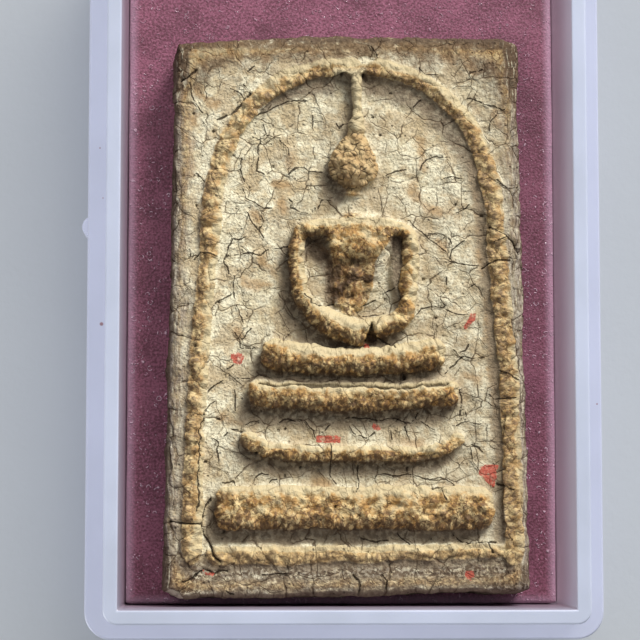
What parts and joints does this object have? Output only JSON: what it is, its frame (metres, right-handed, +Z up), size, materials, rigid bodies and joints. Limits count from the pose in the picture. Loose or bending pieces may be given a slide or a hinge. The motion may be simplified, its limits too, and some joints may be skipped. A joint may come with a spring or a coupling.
{
  "type": "pressed plaster amulet tablet in an open plastic box tray",
  "caption": "Small oblong amulet tablet with a raised seated figure on a tiered throne under an arch, lying face up on a foam pad in an open, lipped box tray.",
  "frame": {"origin": "middle of the tray's underside, on the surface that the tray stands on", "axes": "+Z up out of the tray, +Y from the throne to the top of the arch, +X to the figure's side that is right in a face-on view"},
  "size_m": [0.0363, 0.0504, 0.0138],
  "materials": {
    "plaster": "aged cream lime plaster, crackled, with amber and dark brown staining on the relief",
    "foam": "mauve foam sheet with a fine glittering surface",
    "tray_plastic": "milky translucent moulded plastic"
  },
  "bodies": {
    "root": {"amulet_tablet": "plaster", "foam_pad": "foam", "box_tray": "tray_plastic"}
  },
  "joints": []
}
